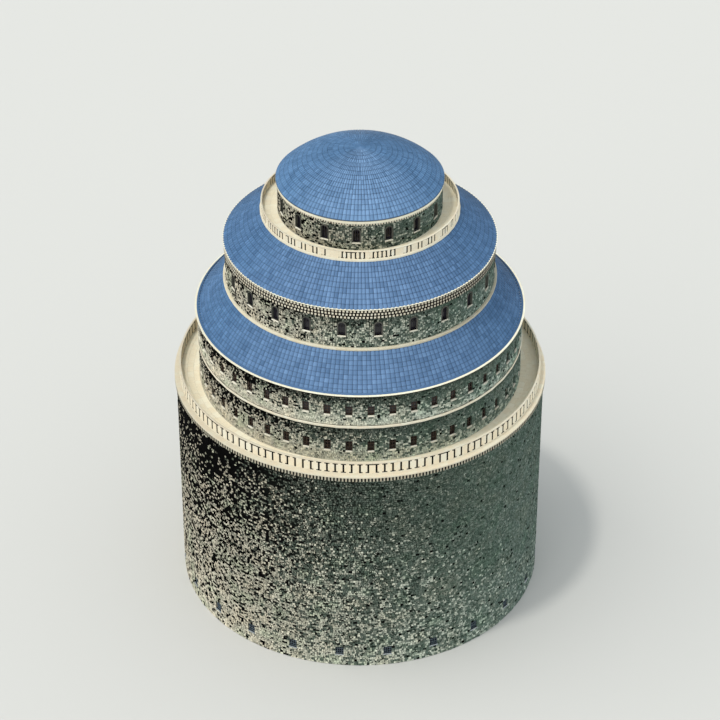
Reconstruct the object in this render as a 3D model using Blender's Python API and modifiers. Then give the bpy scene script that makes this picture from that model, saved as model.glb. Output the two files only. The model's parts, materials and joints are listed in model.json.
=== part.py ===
"""Round stepped masonry tower with two tiled ring roofs and a shallow tiled dome.

Metres, +Z up. The origin is the centre of the base, on the ground.
Angles are counted from the front (-Y) and grow towards the right (+X).
"""
import math

import bmesh
import bpy
from mathutils import Matrix

# Clearance kept between pieces that bear on each other
GAP = 0.0003
# How far a cutter reaches past the faces that it cuts
REACH = 0.3
# Distance under which the Screw modifier joins the first and last sections
MERGE = 0.0001

# Quarter rings of each wall, centred on the sides of the tower
QUARTERS = ("front", "right", "back", "left")

# Base: a plain drum with one row of small windows near the ground
BASE_R = 14.0
BASE_WALL = 2.4
BASE_TOP = 17.69
GROUND_FLOOR_TOP = 0.15
BASE_SIDES = 72

# Gallery slab, which oversails the drum on a dentil course
GALLERY_EDGE_R = 14.18
GALLERY_EDGE_BOTTOM = 18.02
DENTIL_R = 14.08
GALLERY_TOP = 18.12

# Gallery balustrade
GALLERY_RAIL_R = 13.79
GALLERY_RAIL_WIDTH = 0.14
GALLERY_RAIL_TOP = 19.12

# Second tier: two storeys with a string course between them
TIER_TWO_R = 12.2
TIER_TWO_WALL = 0.9
TIER_TWO_SIDES = 48
STRING_R = 12.27
STRING_BOTTOM = 21.10
STRING_TOP = 21.33
TIER_TWO_TOP = 23.95

# Eaves slab and the steep ring roof over the second tier
EAVES_R = 12.41
EAVES_TOP = 24.08
EAVES_SLAB_BOTTOM = 23.70
ROOF_ONE_R = 12.18
ROOF_THICKNESS = 0.36
ROOF_SIDES = 72

# Hidden drum behind the lower roof, and the floor that it carries
LOWER_DRUM_R = 10.02
LOWER_DRUM_WALL = 0.9
BAND_R = 10.22
BAND_BOTTOM = 26.51
TIER_THREE_FLOOR_R = 10.05
TIER_THREE_FLOOR_BOTTOM = 26.35
TIER_THREE_FLOOR_TOP = 26.70

# Third tier and its deep stepped cornice
TIER_THREE_R = 10.03
TIER_THREE_WALL = 0.8
TIER_THREE_SIDES = 72
TIER_THREE_TOP = 29.18
CORNICE_COURSES = 2
CORNICE_INNER_STEP_R = 10.07
CORNICE_R = 10.17
CORNICE_TOP = 30.03
CEILING_BOTTOM = 29.65

# Upper ring roof, the drum behind it, and the balcony slab on top
ROOF_TWO_INNER_R = 7.05
UPPER_DRUM_R = 6.3
UPPER_DRUM_WALL = 1.0
BALCONY_R = 7.39
BALCONY_EDGE_BOTTOM = 32.30
BALCONY_STEP_R = 6.4
BALCONY_BOTTOM = 32.10
BALCONY_TOP = 32.44

# Balcony balustrade
BALCONY_RAIL_R = 7.31
BALCONY_RAIL_WIDTH = 0.12
BALCONY_RAIL_TOP = 33.12

# Fourth tier, its cornice ring and the dome
TIER_FOUR_R = 6.04
TIER_FOUR_WALL = 0.7
TIER_FOUR_SIDES = 48
TIER_FOUR_TOP = 34.67
TOP_CORNICE_R = 6.13
TOP_CORNICE_TOP = 34.89
DOME_FOOT_R = 6.04
DOME_RIM_R = 6.205
DOME_RIM_BOTTOM = 34.97
DOME_RIM_TOP = 35.0
DOME_APEX = 37.52
DOME_THICKNESS = 0.3
DOME_OUTER_RINGS = 7
DOME_INNER_RINGS = 4
DOME_SIDES = 48

# Windows: count, first angle in degrees, sill, head, width outside and inside
ARCH_STEPS = 4
BASE_WINDOWS = {
    "count": 24, "first": 8.6,
    "sill": 1.06, "head": 1.77, "width": 0.62, "inside": 1.3,
}
TIER_TWO_LOWER_WINDOWS = {
    "count": 48, "first": 3.75,
    "sill": 19.06, "head": 19.92, "width": 0.50, "inside": 0.64,
}
TIER_TWO_UPPER_WINDOWS = {
    "count": 48, "first": 3.75,
    "sill": 22.24, "head": 23.04, "width": 0.50, "inside": 0.64,
}
TIER_THREE_WINDOWS = {
    "count": 24, "first": 7.5,
    "sill": 27.70, "head": 28.81, "width": 0.51, "inside": 0.68,
}
TIER_FOUR_WINDOWS = {
    "count": 16, "first": -2.4,
    "sill": 33.09, "head": 34.20, "width": 0.51, "inside": 0.62,
}

# Colour and roughness of each finish
FINISHES = {
    "rubble_stone": ((0.28, 0.29, 0.24), 0.9),
    "dressed_stone": ((0.71, 0.67, 0.51), 0.8),
    "roof_tile": ((0.13, 0.23, 0.40), 0.55),
    "paving_stone": ((0.62, 0.59, 0.45), 0.85),
}


def clear_scene():
    for old in list(bpy.data.objects):
        bpy.data.objects.remove(old, do_unlink=True)


def new_collection(name):
    made = bpy.data.collections.new(name)
    bpy.context.scene.collection.children.link(made)
    return made


def finish_material(name, finish):
    colour, roughness = FINISHES[finish]
    made = bpy.data.materials.new(name + "_" + finish)
    made.use_nodes = True
    shader = made.node_tree.nodes["Principled BSDF"]
    shader.inputs["Base Color"].default_value = (*colour, 1.0)
    shader.inputs["Roughness"].default_value = roughness
    shader.inputs["Metallic"].default_value = 0.0
    return made


def new_piece(name, mesh, finish):
    """Links one named piece, with a material of its own, to the tower."""
    piece = bpy.data.objects.new(name, mesh)
    piece.data.materials.append(finish_material(name, finish))
    TOWER.objects.link(piece)
    return piece


def turned(name, profile, finish, sides, closed=False):
    """A full turn of (radius, height) points that run down the outer side.

    An open profile starts and ends on the axis; a closed one makes a ring."""
    mesh = bpy.data.meshes.new(name)
    count = len(profile)
    edges = [(i, (i + 1) % count) for i in range(count if closed else count - 1)]
    mesh.from_pydata([(r, 0.0, z) for r, z in profile], edges, [])
    piece = new_piece(name, mesh, finish)
    screw = piece.modifiers.new("turn", "SCREW")
    screw.axis = "Z"
    screw.angle = math.tau
    screw.steps = sides
    screw.render_steps = sides
    screw.use_merge_vertices = True
    screw.merge_threshold = MERGE
    screw.use_smooth_shade = False
    return piece


def slab(name, levels, finish, sides):
    """A disc whose edge steps down through (radius, height) levels."""
    return turned(name, [(0.0, levels[0][1]), *levels, (0.0, levels[-1][1])], finish, sides)


def ring(name, inner, outer, bottom, top, finish, sides):
    profile = [(inner, top), (outer, top), (outer, bottom), (inner, bottom)]
    return turned(name, profile, finish, sides, closed=True)


def quarter_mesh(name, inner, outer, bottom, top, start, sides):
    """A quarter of a ring wall that starts at an angle in degrees."""
    joint = GAP / inner
    first = math.radians(start) + joint / 2
    corners = [(inner, bottom), (outer, bottom), (outer, top), (inner, top)]
    shape = bmesh.new()
    section = shape.faces.new([shape.verts.new((0.0, -r, z)) for r, z in corners])
    bmesh.ops.rotate(shape, verts=shape.verts, matrix=Matrix.Rotation(first, 3, "Z"))
    bmesh.ops.spin(
        shape,
        geom=[*section.verts, *section.edges, section],
        axis=(0.0, 0.0, 1.0),
        angle=math.pi / 2 - joint,
        steps=sides // 4,
    )
    bmesh.ops.recalc_face_normals(shape, faces=shape.faces)
    mesh = bpy.data.meshes.new(name)
    shape.to_mesh(mesh)
    shape.free()
    return mesh


def ring_wall(name, inner, outer, bottom, top, finish, sides, start=-45.0, cutter=None):
    """Four quarters of a wall, each cut by the same cutter."""
    for number, side in enumerate(QUARTERS):
        label = name + "_" + side
        mesh = quarter_mesh(label, inner, outer, bottom, top, start + 90.0 * number, sides)
        piece = new_piece(label, mesh, finish)
        if cutter:
            cut = piece.modifiers.new("openings", "BOOLEAN")
            cut.operation = "DIFFERENCE"
            cut.solver = "EXACT"
            cut.object = cutter


def rectangle(width, sill, head):
    half = width / 2
    return [(-half, sill), (half, sill), (half, head), (-half, head)]


def arch(width, sill, head):
    """Upright sides with a half-round head, from the left foot."""
    half = width / 2
    spring = head - half
    bend = [math.pi * i / ARCH_STEPS for i in range(ARCH_STEPS + 1)]
    over = [(half * math.cos(a), spring + half * math.sin(a)) for a in bend]
    return [(-half, sill), (half, sill), *over]


def splayed_hole(shape, outline, angle, outer, inner, spread):
    """A prism through a wall whose width grows by spread from face to face."""
    slope = (spread - 1.0) / (outer - inner)
    near = 1.0 - slope * REACH
    far = 1.0 + slope * (outer - inner + REACH)
    verts = [shape.verts.new((x * near, -outer - REACH, z)) for x, z in outline]
    face = shape.faces.new(verts)
    grown = bmesh.ops.extrude_face_region(shape, geom=[face])
    moved = [v for v in grown["geom"] if isinstance(v, bmesh.types.BMVert)]
    bmesh.ops.scale(shape, vec=(far / near, 1.0, 1.0), verts=moved)
    bmesh.ops.translate(shape, vec=(0.0, outer - inner + 2 * REACH, 0.0), verts=moved)
    turn = Matrix.Rotation(math.radians(angle), 3, "Z")
    bmesh.ops.rotate(shape, verts=verts + moved, matrix=turn)


def cutter_object(name, shape):
    bmesh.ops.recalc_face_normals(shape, faces=shape.faces)
    mesh = bpy.data.meshes.new(name)
    shape.to_mesh(mesh)
    shape.free()
    made = bpy.data.objects.new(name, mesh)
    made.hide_render = True
    made.display_type = "WIRE"
    CUTTERS.objects.link(made)
    return made


def window_cutter(name, windows, outer, wall, outline=rectangle):
    shape = bmesh.new()
    frame = outline(windows["width"], windows["sill"], windows["head"])
    spread = windows["inside"] / windows["width"]
    for number in range(windows["count"]):
        angle = windows["first"] + 360.0 * number / windows["count"]
        splayed_hole(shape, frame, angle, outer, outer - wall, spread)
    return cutter_object(name, shape)


def base():
    inner = BASE_R - BASE_WALL
    floor_levels = [(inner - GAP, GROUND_FLOOR_TOP), (inner - GAP, 0.0)]
    slab("ground_floor", floor_levels, "paving_stone", BASE_SIDES)
    cutter = window_cutter("base_window_cutter", BASE_WINDOWS, BASE_R, BASE_WALL)
    ring_wall("base_wall", inner, BASE_R, 0.0, BASE_TOP, "rubble_stone", BASE_SIDES, cutter=cutter)


def gallery():
    bottom = BASE_TOP + GAP
    levels = [
        (GALLERY_EDGE_R, GALLERY_TOP),
        (GALLERY_EDGE_R, GALLERY_EDGE_BOTTOM),
        (DENTIL_R, GALLERY_EDGE_BOTTOM),
        (DENTIL_R, bottom),
    ]
    slab("gallery_slab", levels, "dressed_stone", BASE_SIDES)
    inner = GALLERY_RAIL_R - GALLERY_RAIL_WIDTH
    ring_wall(
        "gallery_balustrade", inner, GALLERY_RAIL_R, GALLERY_TOP + GAP, GALLERY_RAIL_TOP,
        "dressed_stone", BASE_SIDES,
    )


def tier_two():
    inner = TIER_TWO_R - TIER_TWO_WALL
    lower = window_cutter("tier_two_lower_cutter", TIER_TWO_LOWER_WINDOWS, TIER_TWO_R, TIER_TWO_WALL)
    ring_wall(
        "tier_two_lower_wall", inner, TIER_TWO_R, GALLERY_TOP + GAP, STRING_BOTTOM,
        "rubble_stone", TIER_TWO_SIDES, cutter=lower,
    )
    string_levels = [(STRING_R, STRING_TOP), (STRING_R, STRING_BOTTOM + GAP)]
    slab("tier_two_floor", string_levels, "dressed_stone", TIER_TWO_SIDES)
    upper = window_cutter("tier_two_upper_cutter", TIER_TWO_UPPER_WINDOWS, TIER_TWO_R, TIER_TWO_WALL)
    ring_wall(
        "tier_two_upper_wall", inner, TIER_TWO_R, STRING_TOP + GAP, TIER_TWO_TOP,
        "rubble_stone", TIER_TWO_SIDES, cutter=upper,
    )


def lower_roof():
    seat = TIER_TWO_R - TIER_TWO_WALL - GAP
    levels = [
        (EAVES_R, EAVES_TOP),
        (EAVES_R, TIER_TWO_TOP + GAP),
        (seat, TIER_TWO_TOP + GAP),
        (seat, EAVES_SLAB_BOTTOM),
    ]
    slab("eaves_slab", levels, "dressed_stone", TIER_TWO_SIDES)
    ring_roof(
        "lower_roof", ROOF_ONE_R, EAVES_TOP + GAP, BAND_R, BAND_BOTTOM - GAP,
        TIER_THREE_FLOOR_R + GAP,
    )
    ring(
        "lower_roof_drum", LOWER_DRUM_R - LOWER_DRUM_WALL, LOWER_DRUM_R, EAVES_TOP + GAP,
        TIER_THREE_FLOOR_BOTTOM - GAP, "rubble_stone", TIER_TWO_SIDES,
    )


def ring_roof(name, foot_r, foot_z, head_r, head_z, inner_r):
    """A sloping ring that runs in under the slab at its head."""
    rise = math.atan2(head_z - foot_z, foot_r - head_r)
    drop = ROOF_THICKNESS / math.cos(rise)
    back = ROOF_THICKNESS / math.sin(rise)
    under_z = head_z + (head_r - inner_r) * math.tan(rise) - drop
    profile = [
        (inner_r, head_z),
        (head_r, head_z),
        (foot_r, foot_z),
        (foot_r - back, foot_z),
        (inner_r, under_z),
    ]
    turned(name, profile, "roof_tile", ROOF_SIDES, closed=True)


def tier_three():
    levels = [
        (BAND_R, TIER_THREE_FLOOR_TOP),
        (BAND_R, BAND_BOTTOM),
        (TIER_THREE_FLOOR_R, BAND_BOTTOM),
        (TIER_THREE_FLOOR_R, TIER_THREE_FLOOR_BOTTOM),
    ]
    slab("tier_three_floor", levels, "dressed_stone", ROOF_SIDES)
    inner = TIER_THREE_R - TIER_THREE_WALL
    cutter = window_cutter(
        "tier_three_cutter", TIER_THREE_WINDOWS, TIER_THREE_R, TIER_THREE_WALL, arch
    )
    ring_wall(
        "tier_three_wall", inner, TIER_THREE_R, TIER_THREE_FLOOR_TOP + GAP, TIER_THREE_TOP,
        "rubble_stone", TIER_THREE_SIDES, cutter=cutter,
    )
    slab("tier_three_cornice", cornice_levels(), "dressed_stone", TIER_THREE_SIDES)


def cornice_levels():
    """Courses that step out upwards, over a ceiling that rises inside the wall."""
    bottom = TIER_THREE_TOP + GAP
    course = (CORNICE_TOP - bottom) / CORNICE_COURSES
    step = (CORNICE_R - CORNICE_INNER_STEP_R) / (CORNICE_COURSES - 1)
    levels = []
    for number in range(CORNICE_COURSES):
        radius = CORNICE_R - step * number
        levels.append((radius, CORNICE_TOP - course * number))
        levels.append((radius, CORNICE_TOP - course * (number + 1)))
    inner = TIER_THREE_R - TIER_THREE_WALL
    return [*levels, (inner, bottom), (inner, CEILING_BOTTOM)]


def upper_roof():
    ring_roof(
        "upper_roof", CORNICE_R, CORNICE_TOP + GAP, BALCONY_R, BALCONY_EDGE_BOTTOM - GAP,
        ROOF_TWO_INNER_R,
    )
    ring(
        "upper_roof_drum", UPPER_DRUM_R - UPPER_DRUM_WALL, UPPER_DRUM_R, CORNICE_TOP + GAP,
        BALCONY_BOTTOM - GAP, "rubble_stone", TIER_FOUR_SIDES,
    )
    levels = [
        (BALCONY_R, BALCONY_TOP),
        (BALCONY_R, BALCONY_EDGE_BOTTOM),
        (BALCONY_STEP_R, BALCONY_EDGE_BOTTOM),
        (BALCONY_STEP_R, BALCONY_BOTTOM),
    ]
    slab("balcony_slab", levels, "dressed_stone", TIER_FOUR_SIDES)
    inner = BALCONY_RAIL_R - BALCONY_RAIL_WIDTH
    ring_wall(
        "balcony_balustrade", inner, BALCONY_RAIL_R, BALCONY_TOP + GAP, BALCONY_RAIL_TOP,
        "dressed_stone", TIER_FOUR_SIDES,
    )


def tier_four():
    inner = TIER_FOUR_R - TIER_FOUR_WALL
    cutter = window_cutter("tier_four_cutter", TIER_FOUR_WINDOWS, TIER_FOUR_R, TIER_FOUR_WALL, arch)
    # Four windows a quarter, so each quarter starts one and a half pitches before its second window
    pitch = 360.0 / TIER_FOUR_WINDOWS["count"]
    start = TIER_FOUR_WINDOWS["first"] - 1.5 * pitch
    ring_wall(
        "tier_four_wall", inner, TIER_FOUR_R, BALCONY_TOP + GAP, TIER_FOUR_TOP,
        "rubble_stone", TIER_FOUR_SIDES, start=start, cutter=cutter,
    )
    ring(
        "tier_four_cornice", inner, TOP_CORNICE_R, TIER_FOUR_TOP + GAP, TOP_CORNICE_TOP,
        "dressed_stone", TIER_FOUR_SIDES,
    )


def dome():
    """A shallow round cap with a thick rim, open underneath."""
    rise = DOME_APEX - DOME_RIM_TOP
    radius = (DOME_RIM_R ** 2 + rise ** 2) / (2 * rise)
    centre = DOME_APEX - radius
    inner = radius - DOME_THICKNESS
    foot = TOP_CORNICE_TOP + GAP
    half_angle = math.asin(DOME_RIM_R / radius)
    inner_angle = math.acos((DOME_RIM_TOP - centre) / inner)
    outside = [half_angle * i / DOME_OUTER_RINGS for i in range(DOME_OUTER_RINGS + 1)]
    inside = [inner_angle * i / DOME_INNER_RINGS for i in range(DOME_INNER_RINGS, -1, -1)]
    profile = [(radius * math.sin(a), centre + radius * math.cos(a)) for a in outside]
    profile += [(DOME_RIM_R, DOME_RIM_BOTTOM), (DOME_FOOT_R, DOME_RIM_BOTTOM), (DOME_FOOT_R, foot)]
    profile += [(inner * math.sin(inner_angle), foot)]
    profile += [(inner * math.sin(a), centre + inner * math.cos(a)) for a in inside]
    turned("dome", profile, "roof_tile", DOME_SIDES)


clear_scene()
TOWER = new_collection("tower")
CUTTERS = new_collection("cutters")
base()
gallery()
tier_two()
lower_roof()
tier_three()
upper_roof()
tier_four()
dome()
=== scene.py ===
"""Looks of a round stepped masonry tower: rubble stones, dressed ledges, tiled roofs and windows.

Metres, +Z up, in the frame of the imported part. Angles are counted from the front (-Y)
and grow towards the right (+X). Radii and heights come from the part's own nodes.
"""
import json
import math
import random

import bmesh
import bpy
from mathutils import Matrix, Vector

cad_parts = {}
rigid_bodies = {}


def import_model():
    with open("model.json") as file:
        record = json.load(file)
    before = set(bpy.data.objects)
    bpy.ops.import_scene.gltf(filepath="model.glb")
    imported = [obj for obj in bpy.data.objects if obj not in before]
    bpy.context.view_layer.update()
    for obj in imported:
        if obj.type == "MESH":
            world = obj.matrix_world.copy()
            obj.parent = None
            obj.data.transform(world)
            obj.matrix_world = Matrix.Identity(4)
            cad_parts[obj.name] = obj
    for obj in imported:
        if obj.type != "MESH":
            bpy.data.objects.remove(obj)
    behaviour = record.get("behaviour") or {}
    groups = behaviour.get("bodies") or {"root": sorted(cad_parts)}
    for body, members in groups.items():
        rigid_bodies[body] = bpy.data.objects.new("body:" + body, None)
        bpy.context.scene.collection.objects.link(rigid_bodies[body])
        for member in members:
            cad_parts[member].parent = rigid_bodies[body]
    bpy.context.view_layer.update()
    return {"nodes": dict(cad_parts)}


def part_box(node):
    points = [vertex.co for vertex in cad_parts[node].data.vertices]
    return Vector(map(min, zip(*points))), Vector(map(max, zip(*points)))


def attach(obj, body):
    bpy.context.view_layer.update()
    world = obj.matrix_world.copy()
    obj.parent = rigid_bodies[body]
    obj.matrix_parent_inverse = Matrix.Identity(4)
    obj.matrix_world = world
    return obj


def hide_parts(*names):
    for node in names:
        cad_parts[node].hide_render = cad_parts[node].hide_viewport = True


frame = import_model()

QUARTERS = ("front", "right", "back", "left")

# Windows of each storey: count, first angle in degrees, sill, head and width of the opening
WINDOWS = {
    "base": {"count": 24, "first": 8.6, "sill": 1.06, "head": 1.77, "width": 0.62},
    "tier_two_lower": {"count": 48, "first": 3.75, "sill": 19.06, "head": 19.92, "width": 0.50},
    "tier_two_upper": {"count": 48, "first": 3.75, "sill": 22.24, "head": 23.04, "width": 0.50},
    "tier_three": {"count": 24, "first": 7.5, "sill": 27.70, "head": 28.81, "width": 0.51},
    "tier_four": {"count": 16, "first": -2.4, "sill": 33.09, "head": 34.20, "width": 0.51},
}
FRAME_DEPTH = 0.06
PANE_DEPTH = 0.02

# Rubble: mean length and height of a stone with its joint in the base and above it, the narrowest joint,
# how much wider it gapes towards the lit side where fewer stones are painted lit, and how deep a stone goes
BASE_STONE = (0.21, 0.19)
UPPER_STONE = (0.175, 0.155)
STONE_JOINT = 0.012
GAPING_JOINT = 0.06
STONE_DEPTH = 0.16
STONE_SHAPES = 8
# How far stones stand proud of the wall, and how unlike each other their lengths and courses are
STONE_PROUD = (0.012, 0.045)
LENGTH_SPREAD = 0.35
COURSE_SPREAD = 0.14
# Mean, spread, least and most of the tints of stones painted lit and of stones painted in green shade
LIT_STONE_TINTS = (0.75, 0.17, 0.35, 1.0)
GREEN_TINTS = (0.08, 0.15, 0.04, 0.5)
# The side that the lights fall on, whose light and shade the finishes paint, as a direction from the
# axis, the front, and the cosine at which a bearing counts as facing wholly away from such a direction
LIT_SIDE = (-0.966, -0.259, 0.0)
FRONT = (0.0, -1.0, 0.0)
AWAY = -0.7
# Rubble from the shaded side to the lit one: painted green shade for shaded stones, and painted lit cream
SHADED_STONE = [(0.0, "#5d6d65"), (0.16, "#54655b"), (0.41, "#4e5c53"), (0.66, "#48544c"), (0.86, "#3c463f"),
         (1.0, "#363d36")]
LIT_STONE = [(0.0, "#aeb9ae"), (0.4, "#c1c6b7"), (0.7, "#c1c0af"), (0.86, "#bebaa9"), (1.0, "#cac4b2")]
# Painted shadow: the near black of stones that stand for shade deep in the joints
JOINT_SHADOW_BLACK = "#040404"
# A stone whose tint is lower than this is painted near black, as joint shadow
JOINT_SHADOW_TINT = 0.03
# How many fewer stones are painted lit away from the lit side, as a share: painted shade
FEWER_LIT = [(0.0, -0.76), (0.16, -0.65), (0.41, -0.47), (0.66, -0.25), (0.84, -0.09), (0.87, -0.06),
              (0.96, -0.10), (1.0, -0.16)]
# Joints from the shaded side to the lit one: painted green shade, then painted black shadow
JOINT_SHADE = [(0.0, "#4a5a50"), (0.3, "#3a463e"), (0.6, "#1e241f"), (0.86, "#050505")]
LICHEN = [(0.34, (0.88, 0.95, 0.89)), (0.48, 1.0), (0.64, (1.06, 1.02, 0.98))]

# Sawn stone: the joint between blocks, and the edge taken off them
BLOCK_JOINT = 0.008
CHAMFER = 0.008
FLAG_JOINT = 0.012
FLAG_LIFT = 0.012
# The gallery slab's dentil band ends just under its floor
GALLERY_BAND_TOP = 18.02
# Sides of everything that is turned on the axis
RING_SIDES = 144

# Roofs: the gap beside a tile, the length that the next row covers, the clay's thickness and its bow
TILE_JOINT = 0.022
TILE_LAP = 0.05
TILE_THICKNESS = 0.016
TILE_BOW = 0.055
TILE_TINTS = (0.4, 0.13, 0.0, 1.0)
ROOF_ROWS = 9
DOME_ROWS = 17
# How far the boarding lies under the tiles' face, its thickness, and the height of the dome's rim
BOARDING_DROP = 0.085
BOARDING_DEPTH = 0.2
DOME_RIM = 35.0
# Tiles in a row of the dome, as (least radius of the row's foot, count)
DOME_COUNTS = [(2.3, 132), (1.15, 66), (0.5, 33), (0.0, 12)]
# Painted light and shade on the glaze by bearing to the lights, and a painted sheen towards the front
TILE_SIDE_LIGHT = [(0.0, 0.98), (0.2, 1.09), (0.5, 1.14), (0.7, 1.11), (1.0, 0.93)]
TILE_FRONT_SHEEN = [(0.2, 0.9), (0.65, 1.02), (1.0, (1.31, 1.13, 1.05))]


# Finishes

# Sockets and settings of a node that blends or multiplies two colours
SHARE, FIRST, SECOND = 0, 6, 7
BLEND = {"data_type": "RGBA"}
MULTIPLY = {"data_type": "RGBA", "blend_type": "MULTIPLY"}


def linear(code):
    """The linear colour of an sRGB hex value. A grey number or three linear parts stay as they are."""
    if isinstance(code, tuple):
        return (*code, 1.0)
    if isinstance(code, float):
        return (code, code, code, 1.0)
    parts = [int(code[i:i + 2], 16) / 255 for i in (1, 3, 5)]
    curved = [c / 12.92 if c <= 0.04045 else ((c + 0.055) / 1.055) ** 2.4 for c in parts]
    return (*curved, 1.0)


def per_metre(millimetres):
    """The scale of a pattern whose features are that many millimetres apart."""
    return 1000.0 / millimetres


def feed(tree, node, inputs):
    """Sets a node's sockets, or links them to a socket or to the first live output of another node."""
    for name, value in inputs.items():
        if isinstance(value, bpy.types.Node):
            value = next(output for output in value.outputs if output.enabled)
        if isinstance(value, bpy.types.NodeSocket):
            tree.links.new(value, node.inputs[name])
        else:
            node.inputs[name].default_value = value


def add(tree, kind, inputs=None, stops=(), **settings):
    """Adds a node with its settings, its values or links, and its colour stops."""
    node = tree.nodes.new(kind)
    for name, value in settings.items():
        setattr(node, name, value)
    feed(tree, node, inputs or {})
    for number, (place, colour) in enumerate(stops):
        ramp = node.color_ramp.elements
        if number >= 2:
            ramp.new(place)
        ramp[number].position = place
        ramp[number].color = linear(colour)
    return node


def new_finish(name, roughness, specular=0.5):
    """A new material, its nodes and the coordinates that its patterns lie in."""
    made = bpy.data.materials.new(name)
    made.use_nodes = True
    tree = made.node_tree
    shader = tree.nodes["Principled BSDF"]
    feed(tree, shader, {"Roughness": roughness, "Specular IOR Level": specular})
    return made, tree, add(tree, "ShaderNodeTexCoord").outputs["Object"]


def dress(made, colour, relief, strength, depth, **more):
    """Gives a finish its colour and the relief of its grain, and hands it back."""
    tree = made.node_tree
    bump = add(tree, "ShaderNodeBump", {"Height": relief, "Strength": strength, "Distance": depth})
    feed(tree, tree.nodes["Principled BSDF"], {"Base Color": colour, "Normal": bump, **more})
    return made


def share_towards(tree, place, direction=LIT_SIDE):
    """How far a point's bearing from the axis looks towards a direction, from 0 to 1."""
    flat = add(tree, "ShaderNodeVectorMath", {0: place, 1: (1.0, 1.0, 0.0)}, operation="MULTIPLY")
    away = add(tree, "ShaderNodeVectorMath", {0: flat}, operation="NORMALIZE")
    facing = add(tree, "ShaderNodeVectorMath", {0: away, 1: direction}, operation="DOT_PRODUCT")
    return add(tree, "ShaderNodeMapRange", {"Value": facing, "From Min": AWAY, "From Max": 1.0})


def rubble_with_painted_light(name, foot, head, height_shade, holes):
    """Fieldstone of grey and cream limestone, split and laid rough, matt and full of holes.

    A stone's tint blends it from a painted green shade to a painted lit cream, both set by its bearing
    to the lights. The height shade stops paint light and shade on the wall from its foot to its head,
    and the holes stops give the share of it that is holes, painted as shadow in the joints."""
    made, tree, place = new_finish(name, 0.9, 0.04)
    spot = add(tree, "ShaderNodeSeparateXYZ", {"Vector": place}).outputs
    side = share_towards(tree, place)
    # Painted light and shade: each stone blends from a green shade to a lit cream, both set by its bearing
    shaded_stone = add(tree, "ShaderNodeValToRGB", {"Fac": side}, SHADED_STONE)
    lit_stones = add(tree, "ShaderNodeValToRGB", {"Fac": side}, LIT_STONE)
    tint = add(tree, "ShaderNodeAttribute", attribute_name="tint").outputs["Fac"]
    colour = add(tree, "ShaderNodeMix", {SHARE: tint, FIRST: shaded_stone, SECOND: lit_stones}, **BLEND)
    # Painted shadow: stones of the lowest tints are near black
    joint_shadow = add(tree, "ShaderNodeMath", {0: tint, 1: JOINT_SHADOW_TINT}, operation="LESS_THAN")
    colour = add(tree, "ShaderNodeMix", {SHARE: joint_shadow, FIRST: colour, SECOND: linear(JOINT_SHADOW_BLACK)}, **BLEND)
    # Painted shade by height: streaks run down the wall and make its edges ragged
    run = add(tree, "ShaderNodeMapping", {"Vector": place, "Scale": (1.0, 1.0, 0.12)})
    streak = add(tree, "ShaderNodeTexNoise", {"Vector": run, "Scale": per_metre(900), "Detail": 3.0})
    rise = add(tree, "ShaderNodeMapRange", {
        "Value": spot["Z"], "From Min": foot, "From Max": head, "To Min": -0.08, "To Max": 0.92,
    })
    ragged = add(tree, "ShaderNodeMath", {0: streak, 1: 0.16, 2: rise}, operation="MULTIPLY_ADD")
    lit_by_height = add(tree, "ShaderNodeValToRGB", {"Fac": ragged}, height_shade)
    chips = add(tree, "ShaderNodeTexVoronoi", {"Vector": place, "Scale": per_metre(115)}).outputs["Color"]
    chance = add(tree, "ShaderNodeSeparateColor", {"Color": chips}).outputs
    shade = add(tree, "ShaderNodeMapRange", {"Value": chance["Green"], "To Min": 0.7, "To Max": 1.3})
    for tone in (lit_by_height, shade):
        colour = add(tree, "ShaderNodeMix", {SHARE: 1.0, FIRST: colour, SECOND: tone}, **MULTIPLY)
    # Holes in the joints' colour: painted shadow in the joints
    share = add(tree, "ShaderNodeValToRGB", {"Fac": ragged}, holes)
    hole = add(tree, "ShaderNodeMath", {0: chance["Red"], 1: share}, operation="LESS_THAN")
    deep = add(tree, "ShaderNodeValToRGB", {"Fac": side}, JOINT_SHADE)
    colour = add(tree, "ShaderNodeMix", {SHARE: hole, FIRST: colour, SECOND: deep}, **BLEND)
    patch = add(tree, "ShaderNodeTexNoise", {"Vector": place, "Scale": per_metre(1900), "Detail": 3.0})
    lichen = add(tree, "ShaderNodeValToRGB", {"Fac": patch}, LICHEN)
    grain = add(tree, "ShaderNodeTexNoise", {"Vector": place, "Scale": per_metre(70), "Detail": 4.0})
    pits = add(tree, "ShaderNodeMapRange", {
        "Value": grain, "From Min": 0.3, "From Max": 0.7, "To Min": 0.8, "To Max": 1.2,
    })
    for tone in (lichen, pits):
        colour = add(tree, "ShaderNodeMix", {SHARE: 1.0, FIRST: colour, SECOND: tone}, **MULTIPLY)
    return dress(made, colour, grain, 0.6, 0.02)


def raked_mortar():
    """Lime mortar raked back between the stones, grainy: painted green shade away from the lit side and
    painted black shadow towards it.
    """
    made, tree, place = new_finish("raked_lime_mortar", 0.95, 0.05)
    joint_shade = add(tree, "ShaderNodeValToRGB", {"Fac": share_towards(tree, place)}, JOINT_SHADE)
    grain = add(tree, "ShaderNodeTexNoise", {"Vector": place, "Scale": per_metre(60), "Detail": 3.0})
    pits = add(tree, "ShaderNodeMapRange", {
        "Value": grain, "From Min": 0.35, "From Max": 0.65, "To Min": 0.7, "To Max": 1.2,
    })
    colour = add(tree, "ShaderNodeMix", {SHARE: 1.0, FIRST: joint_shade, SECOND: pits}, **MULTIPLY)
    return dress(made, colour, grain, 0.5, 0.01)


def painted_shadow_recess():
    """Stone deep in a recess, painted black as the shadow there, grainy."""
    made, tree, place = new_finish("recess_painted_shadow", 0.95, 0.05)
    grain = add(tree, "ShaderNodeTexNoise", {"Vector": place, "Scale": per_metre(60), "Detail": 3.0})
    colour = add(tree, "ShaderNodeValToRGB", {"Fac": grain}, [(0.35, "#070706"), (0.65, "#100f0d")])
    return dress(made, colour, grain, 0.5, 0.01)


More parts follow.
